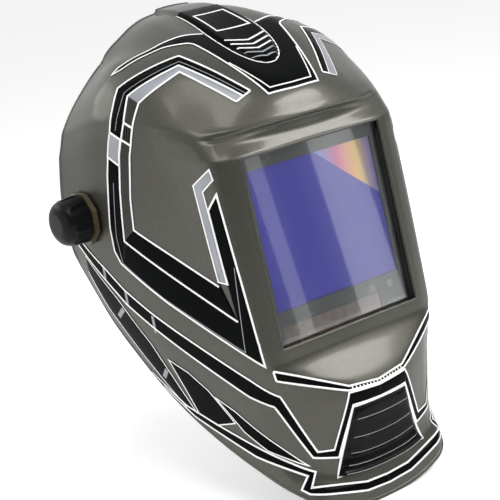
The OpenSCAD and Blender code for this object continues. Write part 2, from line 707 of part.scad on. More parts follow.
helmet_shell();
chin_vent();
pivot_bush(1);  // pivot_bush_left
pivot_bush(-1);  // pivot_bush_right
friction_plate(1);  // friction_plate_left
friction_plate(-1);  // friction_plate_right
lens_holder();
front_cover_lens();
case_front();
case_rear();
filter_glass();
shutter_cell();
solar_panel();
arc_sensors();
circuit_board();
case_screw_set();  // case_screws
inner_cover_lens();
battery_tray(1);  // battery_tray_left
battery_tray(-1);  // battery_tray_right
battery_cell(1);  // battery_left
battery_cell(-1);  // battery_right
shade_knob();
sensitivity_knob();
delay_knob();
grind_switch();
test_button();
cartridge_latch(1);  // latch_left
cartridge_latch(-1);  // latch_right
headband();
sweatband();
side_rail(1);  // side_rail_left
side_rail(-1);  // side_rail_right
rail_rivet(1);  // rail_rivets_left
rail_rivet(-1);  // rail_rivets_right
crown_strap(1, 0);  // crown_strap_left
crown_strap(-1, 1.9);  // crown_strap_right
strap_rivet(1);  // strap_rivet_left
strap_rivet(-1);  // strap_rivet_right
crown_peg();
slider(1);  // slider_left
slider(-1);  // slider_right
pivot_stud(1);  // pivot_stud_left
pivot_stud(-1);  // pivot_stud_right
tilt_stop();
spacer_disc();
friction_washer(1);  // friction_washer_left
friction_washer(-1);  // friction_washer_right
tension_knob(1);  // tension_knob_left
tension_knob(-1);  // tension_knob_right
knob_insert(1);  // knob_insert_left
knob_insert(-1);  // knob_insert_right
rear_band();
ratchet_housing();
ratchet_cover();
housing_screws();
rear_pad();
pinion();
ratchet_knob();
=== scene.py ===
"""Auto-darkening welding helmet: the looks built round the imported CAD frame.

Lengths are in metres unless a name ends in _MM or _mm; the rows of the form are in millimetres.
The helmet looks along -Y, +Z is up, the wearer's right is -X.
Paint graphics are given in form positions: (row, column), row 0 at the chin rim to 15 at the crown rim,
column 0 in the middle to 7 at the rear edge, negative on the wearer's right. Their corners were read off
the photograph of the near side and carried over to form positions.
"""

import json
import math

import bpy
import numpy as np
from mathutils import Matrix, Vector
from mathutils.geometry import delaunay_2d_cdt


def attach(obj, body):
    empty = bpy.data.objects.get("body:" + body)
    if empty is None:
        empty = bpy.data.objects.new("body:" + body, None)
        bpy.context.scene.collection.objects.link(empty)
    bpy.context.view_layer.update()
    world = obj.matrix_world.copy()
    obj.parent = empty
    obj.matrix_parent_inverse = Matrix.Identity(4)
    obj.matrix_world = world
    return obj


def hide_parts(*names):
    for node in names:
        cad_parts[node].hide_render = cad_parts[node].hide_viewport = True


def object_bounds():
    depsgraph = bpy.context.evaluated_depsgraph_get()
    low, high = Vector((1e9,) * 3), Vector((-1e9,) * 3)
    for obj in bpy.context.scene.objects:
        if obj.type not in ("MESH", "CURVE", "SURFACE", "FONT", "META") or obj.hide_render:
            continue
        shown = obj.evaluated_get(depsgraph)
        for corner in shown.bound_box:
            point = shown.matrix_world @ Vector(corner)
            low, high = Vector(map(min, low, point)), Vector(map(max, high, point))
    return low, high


MM = 0.001
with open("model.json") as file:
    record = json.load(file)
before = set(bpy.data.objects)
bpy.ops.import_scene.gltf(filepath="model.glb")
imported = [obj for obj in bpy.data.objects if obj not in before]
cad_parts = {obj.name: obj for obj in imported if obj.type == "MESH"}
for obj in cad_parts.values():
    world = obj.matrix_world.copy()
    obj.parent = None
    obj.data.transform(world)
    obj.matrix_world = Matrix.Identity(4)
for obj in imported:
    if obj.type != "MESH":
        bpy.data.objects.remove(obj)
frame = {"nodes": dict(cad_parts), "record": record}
record = frame["record"]
nodes = frame["nodes"]
cad_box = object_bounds()

# ---------------------------------------------------------------- shell form, as in the CAD source
SHELL_WALL_MM = 2.6
FORM_ROWS = [
    # lower rim
    [[0, -142, -191], [28, -142, -188], [52, -138, -180], [65, -116, -168],
     [74, -74, -150], [84, -34, -122], [95, 4, -76], [102, 24, -36]],
    # top of the rim flare
    [[0, -141.5, -181], [28, -141, -178.5], [51, -136, -171], [65, -113, -159],
     [76, -71, -139], [87, -31, -111], [98, 5, -66], [104, 25, -29]],
    # foot of the chin vent
    [[0, -135.5, -167], [27, -135, -165.5], [50, -129, -160], [66, -105, -148],
     [79, -66, -125], [91, -28, -97], [101, 4, -55], [105, 26, -21]],
    # head of the chin vent
    [[0, -143, -120], [24, -141.5, -120], [52, -130, -122], [69, -110, -118],
     [84, -70, -97], [96, -34, -72], [104, -2, -38], [106, 27, -12]],
    # front edge of the ledge
    [[0, -142, -113], [24, -139.5, -110], [50, -129.5, -100], [68, -121, -93],
     [87, -73, -73], [98, -38, -52], [105, -5, -24], [106, 27, -5]],
    # foot of the window frame
    [[0, -124.2, -90], [24, -124.2, -90], [57, -124, -90], [69, -119.5, -86],
     [88, -72, -62], [99, -38, -41], [105, -6, -14], [106, 27, 1]],
    # lower edge of the window
    [[0, -122.8, -81.5], [24, -122.8, -81.5], [57, -122.8, -81.5], [70, -118, -78],
     [88.5, -71, -55], [99.5, -38, -35], [105, -7, -9], [106, 27, 5]],
    # middle of the window
    [[0, -113.4, -22], [24, -113.4, -22], [57, -113.4, -22], [71.5, -108.3, -21],
     [90, -67, -10], [100.5, -37, -2], [105, -9, 8], [105.5, 27, 15]],
    # upper edge of the window
    [[0, -104, 37], [24, -104, 37], [57, -104, 37], [72, -98, 36],
     [89, -62, 42], [99, -36, 42], [103, -10, 40], [102.5, 27, 35]],
    # cove over the window
    [[0, -99.5, 45], [24, -99, 45], [52, -97, 44.5], [71, -92.5, 45],
     [87, -60, 51], [96.5, -36, 52], [101, -10, 50], [100, 27, 42]],
    # brow lip
    [[0, -102.5, 52.5], [24, -101.5, 52], [50, -96.5, 51], [69.5, -88, 51.5],
     [84, -57, 61], [92, -34, 64], [97, -10, 62], [97, 28, 50]],
    # forehead
    [[0, -95, 68], [22, -93.5, 68], [44, -84, 67], [60, -72, 67],
     [74, -50, 77], [82, -30, 81], [87, -8, 79], [88, 28, 63]],
    # front of the crown
    [[0, -76, 80], [20, -73, 83], [38, -63, 88], [51, -50, 92],
     [60, -38, 93], [67, -22, 93], [72, -4, 91], [75, 28, 76]],
    # top of the crown
    [[0, -34, 101], [19, -32, 103], [34, -30, 104], [46, -26, 101],
     [54, -18, 98], [60, -8, 96], [64, 4, 92], [67, 28, 83]],
    # back of the crown
    [[0, 0, 113], [17, 0, 113], [31, 2, 111], [42, 4, 106],
     [49, 8, 101], [55, 12, 96], [60, 18, 91], [63, 28, 86]],
    # crown rim
    [[0, 28, 113], [14, 28, 112], [26, 28, 110], [36, 28, 106],
     [44, 28, 101], [51, 28, 97], [56, 28, 93], [60, 28, 88]],
]
ROW_ROUND = [0.2, 0.3, 0.45, 0.3, 0.25, 0.25, 0.05, 0.5, 0.05, 0.35, 0.2, 0.5, 0.5, 0.5, 0.5, 0.5]
COL_ROUND = [0.5, 0.5, 0.35, 0.35, 0.5, 0.5, 0.3, 0.3]
LAST_COL = len(COL_ROUND) - 1
WINDOW_ROWS = (6, 8)
WINDOW_COL = 2
STEPS = 12  # mesh steps between neighbouring form lines
PIVOT_HOLE_R = 9 * MM


def mirrored_form(rows):
    """The left half of each row, and its mirror image before it."""
    half = np.array(rows, float)
    other = half[:, :0:-1] * np.array([-1, 1, 1])
    return np.concatenate([other, half], axis=1) * MM


FORM = mirrored_form(FORM_ROWS)
COLS = COL_ROUND[:0:-1] + COL_ROUND


def unit(v):
    return v / np.maximum(np.linalg.norm(v, axis=-1, keepdims=True), 1e-12)


def inner_form():
    """The form moved inward by the wall, line by line."""
    above, below = np.concatenate([FORM[1:], FORM[-1:]]), np.concatenate([FORM[:1], FORM[:-1]])
    right = np.concatenate([FORM[:, 1:], FORM[:, -1:]], 1)
    left = np.concatenate([FORM[:, :1], FORM[:, :-1]], 1)
    return FORM + SHELL_WALL_MM * MM * unit(np.cross(above - below, right - left))


def shares(positions, rounding):
    """Weights of the form lines at each position: straight between lines, rounded over near them."""
    u = np.asarray(positions, float)
    last = len(rounding) - 1
    i = np.clip(np.floor(u + 0.5).astype(int), 0, last)
    d = u - i
    f = np.asarray(rounding)[i]
    near = (i > 0) & (i < last) & (np.abs(d) < f)
    s = (d + f) / (2 * f)
    before = np.where(near, f * (1 - s) ** 2, np.where(d < 0, -d, 0))
    after = np.where(near, f * s * s, np.where(d < 0, 0, d))
    out = np.zeros((len(u), last + 1))
    k = np.arange(len(u))
    np.add.at(out, (k, i), 1 - before - after)
    np.add.at(out, (k, np.clip(i - 1, 0, last)), before)
    np.add.at(out, (k, np.clip(i + 1, 0, last)), after)
    return out


def form_points(form, rows, cols):
    row_shares, col_shares = shares(rows, ROW_ROUND), shares(np.asarray(cols) + LAST_COL, COLS)
    return np.einsum("ni,ijk,nj->nk", row_shares, form, col_shares)


def smooth(t):
    t = np.clip(t, 0, 1)
    return t * t * (3 - 2 * t)


# ---- relief on the outer skin
HOOD_HALF, HOOD_TIP, HOOD_SHOULDER = 1.05, 11.98, 13.0  # a round-ended tongue, in form positions
HOOD_RISE = 2.2 * MM
HOOD_EDGE = 0.16  # share of the hood's reach that its edge slopes over
BROW_GROOVE, GROOVE_SPREAD, GROOVE_DEPTH = 9.55, 0.2, 1.3 * MM
BROW_LIP, LIP_SPREAD, LIP_RISE = 10.0, 0.08, 0.7 * MM
BROW_HALF, BROW_FADE = 3.1, 0.5


def hood_ahead(row):
    """How far a row lies ahead of the hood's shoulder, as a share of the way to its tip."""
    return (HOOD_SHOULDER - row) / (HOOD_SHOULDER - HOOD_TIP)


def relief(rows, cols):
    """How far the outer skin stands out from the form: the hood, and the lip and groove of the brow."""
    rows, cols = np.asarray(rows, float), np.asarray(cols, float)
    depth_in = 1 - np.hypot(cols / HOOD_HALF, np.clip(hood_ahead(rows), 0, None))
    groove = GROOVE_DEPTH * np.exp(-((rows - BROW_GROOVE) / GROOVE_SPREAD) ** 2)
    lip = LIP_RISE * np.exp(-((rows - BROW_LIP) / LIP_SPREAD) ** 2)
    across = smooth((BROW_HALF - np.abs(cols)) / BROW_FADE)
    return HOOD_RISE * smooth(depth_in / HOOD_EDGE) + (lip - groove) * across


def skin(rows, cols, lift=0.0):
    """Points on the painted skin, raised by lift, and the outward normals there."""
    rows, cols = np.asarray(rows, float), np.asarray(cols, float)
    step = 0.02
    low, high = np.clip(rows - step, 0, len(FORM) - 1), np.clip(rows + step, 0, len(FORM) - 1)
    left, right = np.clip(cols - step, -LAST_COL, LAST_COL), np.clip(cols + step, -LAST_COL, LAST_COL)
    up = form_points(FORM, high, cols) - form_points(FORM, low, cols)
    across = form_points(FORM, rows, right) - form_points(FORM, rows, left)
    normal = unit(np.cross(across, up))
    return form_points(FORM, rows, cols) + normal * (relief(rows, cols) + lift)[:, None], normal


# ---------------------------------------------------------------- local frames of the lens and the headband
LENS_ORIGIN = Vector((0, -0.1134, -0.02225))
LENS_TILT = math.atan2(18.8, 118.5)
BAND_ORIGIN = Vector((0, 0.022, 0))
BAND_TILT = math.radians(18)
LENS = Matrix.Translation(LENS_ORIGIN) @ Matrix.Rotation(-LENS_TILT, 4, "X")
BAND = Matrix.Translation(BAND_ORIGIN) @ Matrix.Rotation(-BAND_TILT, 4, "X")


def new_piece(name, verts, faces, material, body, smooth_angle=None):
    mesh = bpy.data.meshes.new(name)
    mesh.from_pydata([tuple(v) for v in verts], [], [tuple(f) for f in faces])
    mesh.update()
    obj = bpy.data.objects.new(name, mesh)
    bpy.context.scene.collection.objects.link(obj)
    mesh.materials.append(material)
    mesh.shade_smooth()
    if smooth_angle is not None:
        mesh.set_sharp_from_angle(angle=math.radians(smooth_angle))
    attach(obj, body)
    return obj


# ---------------------------------------------------------------- materials
ROUGH_VARY = 0.06
SHEEN_X = (0.004, 0.049)  # how far across the lens the rainbow corner runs


def node_material(name):
    m = bpy.data.materials.new(name)
    m.use_nodes = True
    tree = m.node_tree
    shader = tree.nodes["Principled BSDF"]
    coords = tree.nodes.new("ShaderNodeTexCoord")
    return m, tree, shader, coords.outputs["Object"]


def noise(tree, coords, scale, detail=3.0, rough=0.55):
    n = tree.nodes.new("ShaderNodeTexNoise")
    n.inputs["Scale"].default_value = scale
    n.inputs["Detail"].default_value = detail
    n.inputs["Roughness"].default_value = rough
    tree.links.new(coords, n.inputs["Vector"])
    return n.outputs["Fac"]


def ramp(tree, source, stops):
    r = tree.nodes.new("ShaderNodeValToRGB")
    elements = r.color_ramp.elements
    while len(elements) < len(stops):
        elements.new(0.5)
    for e, (at, colour) in zip(elements, stops):
        e.position = at
        e.color = (*colour, 1) if len(colour) == 3 else colour
    tree.links.new(source, r.inputs["Fac"])
    return r.outputs["Color"]


def span(tree, source, low, high):
    """Maps 0..1 to low..high."""
    r = tree.nodes.new("ShaderNodeMapRange")
    r.inputs["To Min"].default_value = low
    r.inputs["To Max"].default_value = high
    tree.links.new(source, r.inputs["Value"])
    return r.outputs["Result"]


def bump(tree, shader, source, height, strength=1.0):
    b = tree.nodes.new("ShaderNodeBump")
    b.inputs["Distance"].default_value = height
    b.inputs["Strength"].default_value = strength
    tree.links.new(source, b.inputs["Height"])
    tree.links.new(b.outputs["Normal"], shader.inputs["Normal"])


def shade(colour, factor):
    return tuple(min(1.0, c * factor) for c in colour)


def surface(name, colour, rough, metallic=0.0, coat=0.0, vary=0.12, grain=900, grain_height=0.03 * MM,
            blotch=40, specular=0.5):
    """A moulded, painted or metal surface with uneven colour, uneven roughness and a fine grain."""
    m, tree, shader, coords = node_material(name)
    broad = noise(tree, coords, blotch)
    tree.links.new(ramp(tree, broad, [(0.3, shade(colour, 1 - vary)), (0.7, shade(colour, 1 + vary))]),
                   shader.inputs["Base Color"])
    fine = noise(tree, coords, grain, 4.0, 0.6)
    uneven = span(tree, fine, max(rough - ROUGH_VARY, 0.02), rough + ROUGH_VARY)
    tree.links.new(uneven, shader.inputs["Roughness"])
    bump(tree, shader, fine, grain_height)
    shader.inputs["Metallic"].default_value = metallic
    shader.inputs["Specular IOR Level"].default_value = specular
    shader.inputs["Coat Weight"].default_value = coat
    shader.inputs["Coat Roughness"].default_value = 0.05
    return m


def shell_paint():
    """Dark olive-grey metallic lacquer: flakes under a clear coat."""
    base = (0.074, 0.072, 0.060)
    m, tree, shader, coords = node_material("shell_paint")
    flakes = tree.nodes.new("ShaderNodeTexVoronoi")
    flakes.inputs["Scale"].default_value = 2200
    tree.links.new(coords, flakes.inputs["Vector"])
    sparkle = ramp(tree, flakes.outputs["Color"],
                   [(0.0, shade(base, 0.86)), (0.55, base), (1.0, shade(base, 1.3))])
    cloud = ramp(tree, noise(tree, coords, 9, 2.0), [(0.3, (0.9, 0.9, 0.9)), (0.7, (1.0, 1.0, 1.0))])
    mix = tree.nodes.new("ShaderNodeMix")
    mix.data_type = "RGBA"
    mix.blend_type = "MULTIPLY"
    mix.inputs["Factor"].default_value = 1.0
    tree.links.new(sparkle, mix.inputs["A"])
    tree.links.new(cloud, mix.inputs["B"])
    tree.links.new(mix.outputs["Result"], shader.inputs["Base Color"])
    tree.links.new(span(tree, noise(tree, coords, 1100, 3.0), 0.36, 0.5), shader.inputs["Roughness"])
    bump(tree, shader, noise(tree, coords, 700, 3.0), 0.00002, 0.6)
    shader.inputs["Metallic"].default_value = 0.75
    shader.inputs["Coat Weight"].default_value = 0.3
    shader.inputs["Coat Roughness"].default_value = 0.12
    return m


def clear_plastic():
    m, tree, shader, coords = node_material("clear_lens")
    tint = ramp(tree, noise(tree, coords, 25), [(0.3, (0.94, 0.96, 0.97)), (0.7, (0.97, 0.98, 0.99))])
    tree.links.new(tint, shader.inputs["Base Color"])
    tree.links.new(span(tree, noise(tree, coords, 300), 0.0, 0.03), shader.inputs["Roughness"])
    shader.inputs["Transmission Weight"].default_value = 1.0
    shader.inputs["IOR"].default_value = 1.45
    shader.inputs["Specular IOR Level"].default_value = 0.1
    shader.inputs["Coat Weight"].default_value = 0.7
    shader.inputs["Coat Roughness"].default_value = 0.1
    return m


def filter_coating():
    """Violet-blue interference coating: one even tint with slow drifts in it."""
    m, tree, shader, coords = node_material("filter_blue")
    tint = ramp(tree, noise(tree, coords, 14, 1.0),
                [(0.25, (0.042, 0.038, 0.46)), (0.75, (0.056, 0.050, 0.52))])
    tree.links.new(tint, shader.inputs["Base Color"])
    tree.links.new(span(tree, noise(tree, coords, 12), 0.3, 0.34), shader.inputs["Roughness"])
    shader.inputs["Specular IOR Level"].default_value = 0.2
    return m


def solar_cell():
    """Brown amorphous cell with fine scribe lines across it."""
    m, tree, shader, coords = node_material("solar_brown")
    wave = tree.nodes.new("ShaderNodeTexWave")
    wave.wave_type = "BANDS"
    wave.bands_direction = "X"
    wave.inputs["Scale"].default_value = 38
    wave.inputs["Distortion"].default_value = 0.0
    tree.links.new(coords, wave.inputs["Vector"])
    scribed = ramp(tree, wave.outputs["Fac"],
                   [(0.0, (0.105, 0.068, 0.048)), (0.1, (0.14, 0.092, 0.066)), (1.0, (0.155, 0.102, 0.073))])
    tree.links.new(scribed, shader.inputs["Base Color"])
    tree.links.new(span(tree, noise(tree, coords, 160), 0.2, 0.32), shader.inputs["Roughness"])
    shader.inputs["Coat Weight"].default_value = 0.8
    return m


def circuit_green():
    m, tree, shader, coords = node_material("board_green")
    brick = tree.nodes.new("ShaderNodeTexBrick")
    brick.inputs["Scale"].default_value = 160
    brick.inputs["Color1"].default_value = (0.015, 0.10, 0.04, 1)
    brick.inputs["Color2"].default_value = (0.02, 0.13, 0.05, 1)
    brick.inputs["Mortar"].default_value = (0.30, 0.26, 0.08, 1)
    brick.inputs["Mortar Size"].default_value = 0.01
    tree.links.new(coords, brick.inputs["Vector"])
    tree.links.new(brick.outputs["Color"], shader.inputs["Base Color"])
    tree.links.new(span(tree, noise(tree, coords, 200), 0.35, 0.45), shader.inputs["Roughness"])
    return m


def combine(tree, operation, first, second):
    node = tree.nodes.new("ShaderNodeMath")
    node.operation = operation
    tree.links.new(first, node.inputs[0])
    tree.links.new(second, node.inputs[1])
    return node.outputs["Value"]


def towelling():
    """Knitted terry: two crossed waves for the loops, noise for the pile."""
    m, tree, shader, coords = node_material("pad_fabric")
    waves = []
    for axis in ("X", "Z"):
        wave = tree.nodes.new("ShaderNodeTexWave")
        wave.bands_direction = axis
        wave.inputs["Scale"].default_value = 240
        wave.inputs["Distortion"].default_value = 1.5
        wave.inputs["Detail"].default_value = 2.0
        tree.links.new(coords, wave.inputs["Vector"])
        waves.append(wave.outputs["Fac"])
    loops = combine(tree, "MULTIPLY", *waves)
    height = combine(tree, "ADD", loops, noise(tree, coords, 1600, 5.0, 0.7))
    tree.links.new(ramp(tree, height, [(0.3, (0.022, 0.024, 0.028)), (0.75, (0.062, 0.066, 0.072))]),
                   shader.inputs["Base Color"])
    bump(tree, shader, height, 0.5 * MM, 0.9)
    shader.inputs["Roughness"].default_value = 0.95
    shader.inputs["Sheen Weight"].default_value = 0.35
    shader.inputs["Sheen Roughness"].default_value = 0.5
    return m


def painted_rainbow_reflection():
    """Painted reflection: the interference colours that the lit corner of the filter reflects, laid as fixed
    bands across it.
    """
    m, tree, shader, coords = node_material("filter_rainbow_reflection")
    split = tree.nodes.new("ShaderNodeSeparateXYZ")
    tree.links.new(coords, split.inputs["Vector"])
    across = tree.nodes.new("ShaderNodeMapRange")
    across.inputs["From Min"].default_value = SHEEN_X[0]
    across.inputs["From Max"].default_value = SHEEN_X[1]
    tree.links.new(split.outputs["X"], across.inputs["Value"])
    # painted reflection: rainbow bands across the lit corner of the filter
    bands = ramp(tree, across.outputs["Result"], [
        (0.0, (0.10, 0.28, 0.80)), (0.20, (0.33, 0.17, 0.55)), (0.38, (0.72, 0.08, 0.30)),
        (0.56, (0.90, 0.35, 0.18)), (0.72, (0.86, 0.56, 0.06)), (0.86, (0.42, 0.30, 0.36)),
        (1.0, (0.20, 0.15, 0.50))])
    tree.links.new(bands, shader.inputs["Base Color"])
    tree.links.new(span(tree, noise(tree, coords, 150), 0.26, 0.34), shader.inputs["Roughness"])
    shader.inputs["Coat Weight"].default_value = 0.6
    return m


FINE = 0.01 * MM  # grain height of gloss paint
MATERIALS = {
    "shell_paint": shell_paint(),
    "vent_black": surface("vent_black", (0.003, 0.003, 0.003), 0.22, vary=0.25, grain_height=FINE,
                          specular=0.12),
    "black_moulding": surface("black_moulding", (0.020, 0.021, 0.020), 0.5, grain_height=0.06 * MM),
    "knob_black": surface("knob_black", (0.003, 0.0035, 0.004), 0.34, specular=0.14),
    "headband_plastic": surface("headband_plastic", (0.024, 0.025, 0.024), 0.42, grain_height=0.04 * MM),
    "friction_plate": surface("friction_plate", (0.050, 0.037, 0.015), 0.3, coat=0.3, vary=0.2),
    "clear_lens": clear_plastic(),
    "case_grey": surface("case_grey", (0.060, 0.068, 0.066), 0.42, specular=0.3),
    "case_back": surface("case_back", (0.030, 0.032, 0.030), 0.5, grain_height=0.05 * MM),
    "filter_blue": filter_coating(),
    "shutter_dark": surface("shutter_dark", (0.03, 0.03, 0.08), 0.12, coat=0.8),
    "solar_brown": solar_cell(),
    "sensor_dark": surface("sensor_dark", (0.03, 0.03, 0.04), 0.12, coat=1.0),
    "board_green": circuit_green(),
    "steel": surface("steel", (0.50, 0.51, 0.52), 0.3, metallic=1.0, grain=1500, blotch=90),
    "cell_steel": surface("cell_steel", (0.66, 0.66, 0.66), 0.18, metallic=1.0, grain=1800, blotch=60),
    "brass": surface("brass", (0.62, 0.42, 0.16), 0.28, metallic=1.0, grain=1500, blotch=90),
    "setting_knobs": surface("setting_knobs", (0.016, 0.016, 0.016), 0.42, grain_height=0.05 * MM),
    "switch_red": surface("switch_red", (0.34, 0.03, 0.02), 0.42),
    "button_grey": surface("button_grey", (0.42, 0.43, 0.42), 0.42),
    "pad_fabric": towelling(),
    "washer_fibre": surface("washer_fibre", (0.20, 0.05, 0.03), 0.6, vary=0.25),
    "pinion_nylon": surface("pinion_nylon", (0.60, 0.56, 0.46), 0.45),
}
PAINTS = {
    "black": surface("graphic_black", (0.0025, 0.003, 0.003), 0.24, vary=0.2, grain_height=FINE,
                     specular=0.03),
    "smoke": surface("graphic_smoke", (0.020, 0.020, 0.016), 0.32, vary=0.15, grain_height=FINE,
                     specular=0.3),
    # silver print; the same paint also makes the painted highlights along the louvre lips of the chin vent
    "silver": surface("graphic_silver", (0.30, 0.31, 0.34), 0.5, metallic=0.35, grain_height=FINE),
    "white": surface("graphic_white", (0.93, 0.93, 0.92), 0.4, coat=0.3, vary=0.03, grain_height=FINE),
}
for part in record["subparts"]:
    mesh = nodes[part["node"]].data
    mesh.materials.clear()
    mesh.materials.append(MATERIALS[part["material_slot"]])


# ---------------------------------------------------------------- shell
def quad(a, b, cols):
    """Corners of the quad at row a and column b of a grid of points that is cols wide."""
    return a * cols + b, a * cols + b + 1, (a + 1) * cols + b + 1, (a + 1) * cols + b


def thick_faces(rows, cols, open_quad=lambda a, b: False):
    """Faces of a grid of points, of a second grid behind it, and of the walls along every open edge."""
    size = rows * cols
    outer = [quad(a, b, cols) for a in range(rows - 1) for b in range(cols - 1) if not open_quad(a, b)]
    edges = {(f[k], f[(k + 1) % 4]) for f in outer for k in range(4)}
    walls = [(q, p, p + size, q + size) for p, q in edges if (q, p) not in edges]
    inner = [tuple(i + size for i in reversed(f)) for f in outer]
    return outer + inner + walls


def round_pivot_holes(points, removed, cols):
    """Pulls the corners of the removed quads out to the hole's circle, apart from those near its middle."""
    for a, b in removed:
        for i in quad(a, b, cols):
            y, z = points[i][1:]
            r = math.hypot(y, z)
            if r > PIVOT_HOLE_R * 0.55:
                points[i][1:] = np.array([y, z]) * PIVOT_HOLE_R / r


def build_shell():
    rows, cols = (len(FORM) - 1) * STEPS + 1, 2 * LAST_COL * STEPS + 1
    u, v = np.meshgrid(np.arange(rows) / STEPS, np.arange(cols) / STEPS - LAST_COL, indexing="ij")
    outer, _ = skin(u.ravel(), v.ravel())
    inner = form_points(inner_form(), u.ravel(), v.ravel())
    grid = outer.reshape(rows, cols, 3)
    middle = (grid[:-1, :-1] + grid[1:, 1:]) / 2
    on_side = np.abs(middle[..., 0]) > 80 * MM
    pivot = (np.hypot(middle[..., 1], middle[..., 2]) < PIVOT_HOLE_R) & on_side

    def open_quad(a, b):
        column = (b + 0.5) / STEPS - LAST_COL
        window = WINDOW_ROWS[0] * STEPS <= a < WINDOW_ROWS[1] * STEPS and abs(column) < WINDOW_COL
        return window or pivot[a, b]

    holes = list(zip(*np.nonzero(pivot)))
    round_pivot_holes(outer, holes, cols)
    round_pivot_holes(inner, holes, cols)
    shell = new_piece("shell_skin", np.concatenate([outer, inner]), thick_faces(rows, cols, open_quad),
                      MATERIALS["shell_paint"], "shell", smooth_angle=50)
    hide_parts("helmet_shell")


def bead(name, path, normals, radius, sides, out):
    """A round bead of shell paint along a closed path on the shell, its middle out from the path."""
    n = len(path)
    ahead = np.roll(path, -1, 0) - np.roll(path, 1, 0)
    side = unit(np.cross(unit(ahead), normals))
    turns = [2 * math.pi * k / sides for k in range(sides)]
    profile = [(radius * math.cos(t), out + radius * math.sin(t)) for t in turns]
    verts = [path[i] + side[i] * a + normals[i] * o for i in range(n) for a, o in profile]
    faces = [(i * sides + j, i * sides + (j + 1) % sides, ((i + 1) % n) * sides + (j + 1) % sides,
              ((i + 1) % n) * sides + j) for i in range(n) for j in range(sides)]
    new_piece(name, verts, faces, MATERIALS["shell_paint"], "shell")


def build_rim_bead():
    """Rolled edge all round the opening of the shell."""
    inset, up_steps, across_steps = 0.02, 180, 260
    low, high = inset, len(FORM) - 1 - inset
    side_rows = np.linspace(low, high, up_steps)
    cols = np.linspace(-LAST_COL + inset, LAST_COL - inset, across_steps)
    foot, head = np.full(across_steps, low), np.full(across_steps, high)
    rows = np.concatenate([foot, side_rows, head, side_rows[::-1]])
    around = np.concatenate([cols, np.full(up_steps, cols[-1]), cols[::-1], np.full(up_steps, cols[0])])
    keep = np.r_[True, (np.abs(np.diff(rows)) + np.abs(np.diff(around))) > 1e-6]
    points, normals = skin(rows[keep], around[keep])
    bead("shell_rim_bead", points, normals, 1.9 * MM, 10, -1.3 * MM)


def build_window_lip():
    """Rounded lip round the window opening, flush with the frame."""
    n = 60
    low, high = WINDOW_ROWS
    cols, rows = np.linspace(-WINDOW_COL, WINDOW_COL, n), np.linspace(low, high, n)
    path_rows = np.concatenate([np.full(n, low), rows[1:], np.full(n - 1, high), rows[-2:0:-1]])
    path_cols = np.concatenate([cols, np.full(n - 1, WINDOW_COL), cols[-2::-1], np.full(n - 2, -WINDOW_COL)])
    points = form_points(FORM, path_rows, path_cols)
    normals = np.tile(np.array(LENS.to_3x3() @ Vector((0, -1, 0))), (len(points), 1))
    bead("window_lip", points, normals, 1.1 * MM, 8, -0.7 * MM)


# ---------------------------------------------------------------- paint graphics
GRAPHIC_LIFT = {"black": 0.20 * MM, "smoke": 0.20 * MM, "silver": 0.28 * MM, "white": 0.36 * MM}
GRAPHIC_THICK = 0.1 * MM
PATCH_STEP = 1 / 14
STRIPE_STEP = 0.03
STRIPE = 1.25 * MM
graphics = {kind: ([], []) for kind in GRAPHIC_LIFT}


def flip(points):
    return [(u, -v) for u, v in points]


def add_mesh(kind, verts, faces):
    all_verts, all_faces = graphics[kind]
    base = len(all_verts)
    all_verts.extend(map(tuple, verts))
    all_faces.extend(tuple(i + base for i in f) for f in faces)


def inside(points, outline):
    """Which points lie in the outline, by crossings."""
    u, v = points[:, 0], points[:, 1]
    hit = np.zeros(len(points), bool)
    for (u0, v0), (u1, v1) in zip(outline, outline[1:] + outline[:1]):
        if u0 != u1:
            crosses = ((u0 > u) != (u1 > u)) & (v < (v1 - v0) * (u - u0) / (u1 - u0) + v0)
            hit ^= crosses
    return hit


def on_form(places):
    return form_points(FORM, places[:, 0], places[:, 1])


def straight(start, end, n):
    """n form positions from start towards end that lie straight on the skin, seen square to it."""
    places = np.array(start) + np.outer(np.arange(n) / n, np.subtract(end, start))
    if n < 3:
        return places
    first, last = on_form(np.array([start, end]))
    targets = first + np.outer(np.arange(n) / n, last - first)
    along = unit(last - first)
    _, normals = skin(places[:, 0], places[:, 1])
    side = unit(np.cross(along, normals.mean(0)))
    step, longest = 0.01, 0.15
    for _ in range(6):
        here = on_form(places)
        gap = (targets - here) @ np.stack([along, side], 1)
        by_row = (on_form(places + [step, 0]) - here) @ np.stack([along, side], 1) / step
        by_col = (on_form(places + [0, step]) - here) @ np.stack([along, side], 1) / step
        jacobian = np.stack([by_row, by_col], 2) + 1e-6 * np.eye(2)
        move = np.linalg.solve(jacobian, gap[..., None])[..., 0]
        places[1:] += np.clip(move[1:], -longest, longest)
    return places


def resample(path, step, closed=False):
    """Points along a path of form positions, with each leg straight on the skin."""
    ends = path[1:] + (path[:1] if closed else [])
    out = []
    for (u0, v0), (u1, v1) in zip(path, ends):
        n = max(1, math.ceil(math.hypot(u1 - u0, v1 - v0) / step))
        out += [tuple(p) for p in straight((u0, v0), (u1, v1), n)]
    return out if closed else out + [path[-1]]


def patch(kind, outline, both=True):
    """A filled area of paint inside an outline of form positions, on both sides of the helmet."""
    edge = resample(list(outline), PATCH_STEP, closed=True)
    low, high = np.min(edge, 0), np.max(edge, 0)
    grid = np.stack(np.meshgrid(np.arange(low[0] + PATCH_STEP / 2, high[0], PATCH_STEP),
                                np.arange(low[1] + PATCH_STEP / 2, high[1], PATCH_STEP)), -1).reshape(-1, 2)
    grid = grid[inside(grid, list(outline))] if len(grid) else grid
    points = [Vector(p) for p in edge] + [Vector(p) for p in grid]
    flat, _, faces, *_ = delaunay_2d_cdt(points, [], [list(range(len(edge)))], 1, 1e-6)
    place = np.array([(p.x, p.y) for p in flat])
    for sign in ((1, -1) if both else (1,)):
        verts, _ = skin(place[:, 0], sign * place[:, 1], GRAPHIC_LIFT[kind])
        add_mesh(kind, verts, [f if sign > 0 else f[::-1] for f in map(tuple, faces)])


